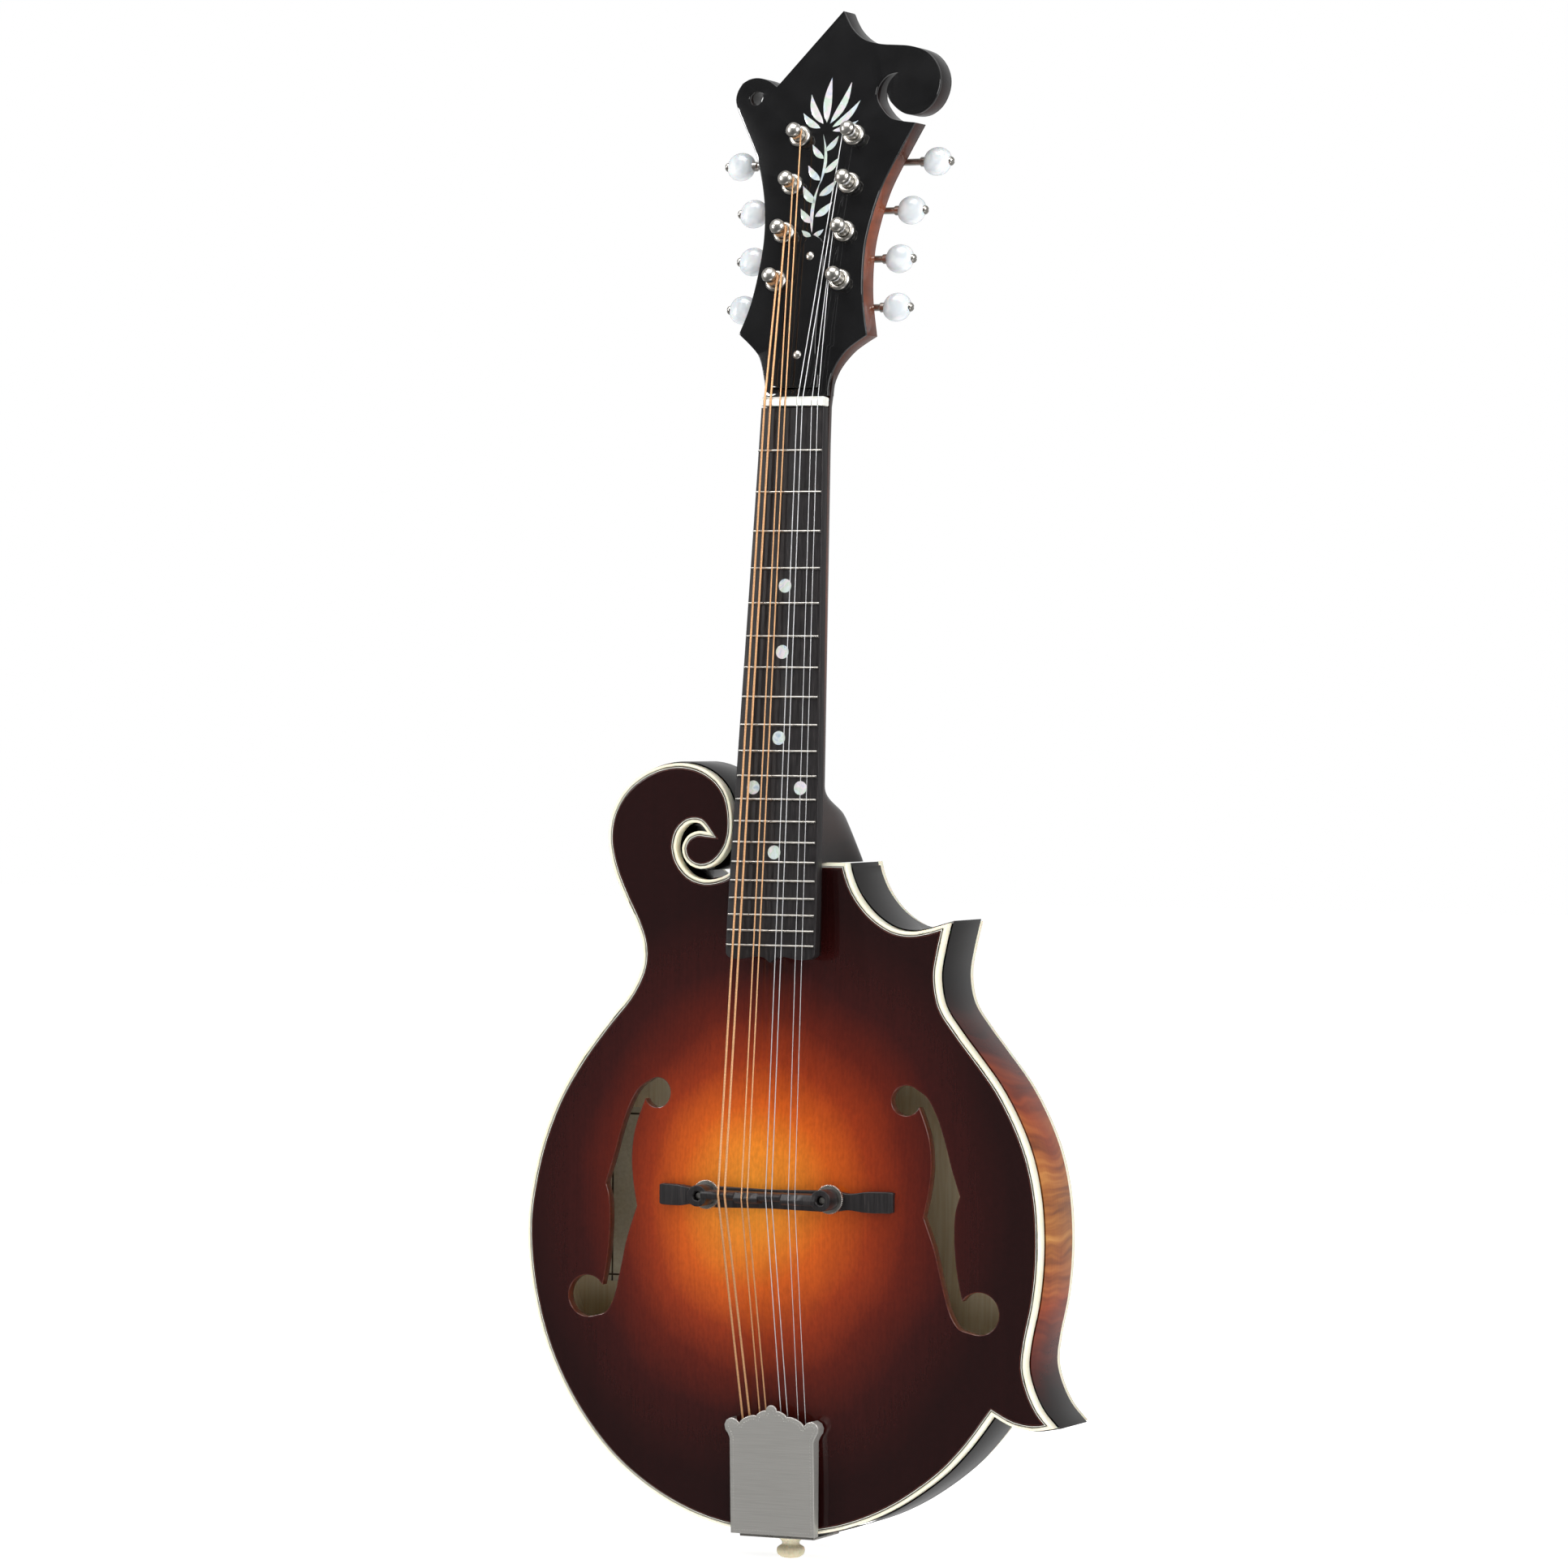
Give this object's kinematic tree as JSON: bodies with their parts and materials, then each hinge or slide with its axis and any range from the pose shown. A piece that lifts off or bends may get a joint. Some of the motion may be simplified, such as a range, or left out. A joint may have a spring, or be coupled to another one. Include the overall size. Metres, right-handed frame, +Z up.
{
  "type": "mandolin",
  "caption": "Carved-top scroll mandolin with f-holes, geared tuners, height-adjustable bridge and a sliding tailpiece cover.",
  "frame": {"origin": "on the fretboard's playing surface, at the middle of the nut's lower edge", "axes": "+Z up the neck to the headstock, -Y out of the front, +X to the treble side"},
  "size_m": [0.258, 0.1071, 0.6992],
  "materials": {
    "sunburst_spruce": "gloss lacquer over a sunburst stain",
    "stained_maple": "gloss lacquer over stained flamed maple",
    "bare_wood": "unfinished",
    "black_lacquer": "gloss",
    "ebony": "oiled",
    "cream_binding": "gloss",
    "bone": "polished bone",
    "cream_pin": "gloss, fluted",
    "pearl_button": "pearl",
    "nickel": "nickel plate",
    "steel_string": "plain wire",
    "bronze_string": "wound wire"
  },
  "bodies": {
    "root": {"top_plate": "sunburst_spruce", "back_plate": "stained_maple", "rim_bass": "stained_maple", "rim_waist": "stained_maple", "rim_tail": "stained_maple", "head_block": "stained_maple", "neck": "stained_maple", "tail_block": "bare_wood", "tone_bar_bass": "bare_wood", "tone_bar_treble": "bare_wood", "headstock_veneer": "black_lacquer", "truss_rod_cover": "black_lacquer", "fretboard": "ebony", "bridge_base": "ebony", "top_binding": "cream_binding", "back_binding": "cream_binding", "nut": "bone", "end_pin": "cream_pin", "bridge_post_bass": "nickel", "bridge_post_treble": "nickel", "tailpiece_base": "nickel", "tuner_plate_bass": "nickel", "tuner_plate_treble": "nickel", "string_1": "bronze_string", "string_2": "bronze_string", "string_3": "bronze_string", "string_4": "bronze_string", "string_5": "steel_string", "string_6": "steel_string", "string_7": "steel_string", "string_8": "steel_string"},
    "saddle": {"bridge_saddle": "ebony"},
    "wheel_bass": {"thumbwheel_bass": "nickel"},
    "wheel_treble": {"thumbwheel_treble": "nickel"},
    "cover": {"tailpiece_cover": "nickel"},
    "rod_nut": {"truss_rod_nut": "nickel"},
    "knob_bass_1": {"worm_shaft_bass_1": "nickel", "tuner_button_bass_1": "pearl_button"},
    "post_bass_1": {"string_post_bass_1": "nickel"},
    "knob_bass_2": {"worm_shaft_bass_2": "nickel", "tuner_button_bass_2": "pearl_button"},
    "post_bass_2": {"string_post_bass_2": "nickel"},
    "knob_bass_3": {"worm_shaft_bass_3": "nickel", "tuner_button_bass_3": "pearl_button"},
    "post_bass_3": {"string_post_bass_3": "nickel"},
    "knob_bass_4": {"worm_shaft_bass_4": "nickel", "tuner_button_bass_4": "pearl_button"},
    "post_bass_4": {"string_post_bass_4": "nickel"},
    "knob_treble_1": {"worm_shaft_treble_1": "nickel", "tuner_button_treble_1": "pearl_button"},
    "post_treble_1": {"string_post_treble_1": "nickel"},
    "knob_treble_2": {"worm_shaft_treble_2": "nickel", "tuner_button_treble_2": "pearl_button"},
    "post_treble_2": {"string_post_treble_2": "nickel"},
    "knob_treble_3": {"worm_shaft_treble_3": "nickel", "tuner_button_treble_3": "pearl_button"},
    "post_treble_3": {"string_post_treble_3": "nickel"},
    "knob_treble_4": {"worm_shaft_treble_4": "nickel", "tuner_button_treble_4": "pearl_button"},
    "post_treble_4": {"string_post_treble_4": "nickel"}
  },
  "joints": [
    {"name": "saddle_height", "type": "slide", "parent": "root", "child": "saddle", "axis": [0, -1, 0], "range_m": [-0.0013, 0.0015], "deforming": ["string_1", "string_2", "string_3", "string_4", "string_5", "string_6", "string_7", "string_8"]},
    {"name": "wheel_turn_bass", "type": "hinge", "parent": "saddle", "child": "wheel_bass", "pos_m": [-0.03, -0.01996, -0.3524], "axis": [0, -1, 0], "range_deg": [-589, 679]},
    {"name": "wheel_turn_treble", "type": "hinge", "parent": "saddle", "child": "wheel_treble", "pos_m": [0.03, -0.01996, -0.3524], "axis": [0, -1, 0], "range_deg": [-589, 679]},
    {"name": "cover_slide", "type": "slide", "parent": "root", "child": "cover", "axis": [0, 0, -1], "range_m": [0, 0.065]},
    {"name": "rod_nut_turn", "type": "hinge", "parent": "root", "child": "rod_nut", "pos_m": [-0.0016, 0.01154, 0.00751], "axis": [0, 0.2924, 0.9563], "range_deg": [-90, 90]},
    {"name": "tuner_bass_1", "type": "hinge", "parent": "root", "child": "knob_bass_1", "pos_m": [-0.0179, 0.03517, 0.04577], "axis": [-1, 0, 0], "continuous": true},
    {"name": "post_turn_bass_1", "type": "hinge", "parent": "root", "child": "post_bass_1", "pos_m": [-0.0179, 0.0212, 0.05757], "axis": [0, -0.9563, 0.2924], "continuous": true},
    {"name": "tuner_bass_2", "type": "hinge", "parent": "root", "child": "knob_bass_2", "pos_m": [-0.01712, 0.04198, 0.06805], "axis": [-1, 0, 0], "continuous": true},
    {"name": "post_turn_bass_2", "type": "hinge", "parent": "root", "child": "post_bass_2", "pos_m": [-0.01712, 0.02801, 0.07985], "axis": [0, -0.9563, 0.2924], "continuous": true},
    {"name": "tuner_bass_3", "type": "hinge", "parent": "root", "child": "knob_bass_3", "pos_m": [-0.01634, 0.0488, 0.09033], "axis": [-1, 0, 0], "continuous": true},
    {"name": "post_turn_bass_3", "type": "hinge", "parent": "root", "child": "post_bass_3", "pos_m": [-0.01634, 0.03483, 0.10213], "axis": [0, -0.9563, 0.2924], "continuous": true},
    {"name": "tuner_bass_4", "type": "hinge", "parent": "root", "child": "knob_bass_4", "pos_m": [-0.01556, 0.05561, 0.11262], "axis": [-1, 0, 0], "continuous": true},
    {"name": "post_turn_bass_4", "type": "hinge", "parent": "root", "child": "post_bass_4", "pos_m": [-0.01556, 0.04164, 0.12442], "axis": [0, -0.9563, 0.2924], "continuous": true},
    {"name": "tuner_treble_1", "type": "hinge", "parent": "root", "child": "knob_treble_1", "pos_m": [0.0133, 0.03517, 0.04577], "axis": [1, 0, 0], "continuous": true},
    {"name": "post_turn_treble_1", "type": "hinge", "parent": "root", "child": "post_treble_1", "pos_m": [0.0133, 0.0212, 0.05757], "axis": [0, -0.9563, 0.2924], "continuous": true},
    {"name": "tuner_treble_2", "type": "hinge", "parent": "root", "child": "knob_treble_2", "pos_m": [0.01252, 0.04198, 0.06805], "axis": [1, 0, 0], "continuous": true},
    {"name": "post_turn_treble_2", "type": "hinge", "parent": "root", "child": "post_treble_2", "pos_m": [0.01252, 0.02801, 0.07985], "axis": [0, -0.9563, 0.2924], "continuous": true},
    {"name": "tuner_treble_3", "type": "hinge", "parent": "root", "child": "knob_treble_3", "pos_m": [0.01174, 0.0488, 0.09033], "axis": [1, 0, 0], "continuous": true},
    {"name": "post_turn_treble_3", "type": "hinge", "parent": "root", "child": "post_treble_3", "pos_m": [0.01174, 0.03483, 0.10213], "axis": [0, -0.9563, 0.2924], "continuous": true},
    {"name": "tuner_treble_4", "type": "hinge", "parent": "root", "child": "knob_treble_4", "pos_m": [0.01096, 0.05561, 0.11262], "axis": [1, 0, 0], "continuous": true},
    {"name": "post_turn_treble_4", "type": "hinge", "parent": "root", "child": "post_treble_4", "pos_m": [0.01096, 0.04164, 0.12442], "axis": [0, -0.9563, 0.2924], "continuous": true}
  ],
  "couplings": [
    {"joint": "wheel_turn_bass", "follows": "saddle_height", "rad_per_m": 7854},
    {"joint": "wheel_turn_treble", "follows": "saddle_height", "rad_per_m": 7854},
    {"joint": "post_turn_bass_1", "follows": "tuner_bass_1", "ratio": 0.07143},
    {"joint": "post_turn_bass_2", "follows": "tuner_bass_2", "ratio": 0.07143},
    {"joint": "post_turn_bass_3", "follows": "tuner_bass_3", "ratio": 0.07143},
    {"joint": "post_turn_bass_4", "follows": "tuner_bass_4", "ratio": 0.07143},
    {"joint": "post_turn_treble_1", "follows": "tuner_treble_1", "ratio": 0.07143},
    {"joint": "post_turn_treble_2", "follows": "tuner_treble_2", "ratio": 0.07143},
    {"joint": "post_turn_treble_3", "follows": "tuner_treble_3", "ratio": 0.07143},
    {"joint": "post_turn_treble_4", "follows": "tuner_treble_4", "ratio": 0.07143}
  ]
}
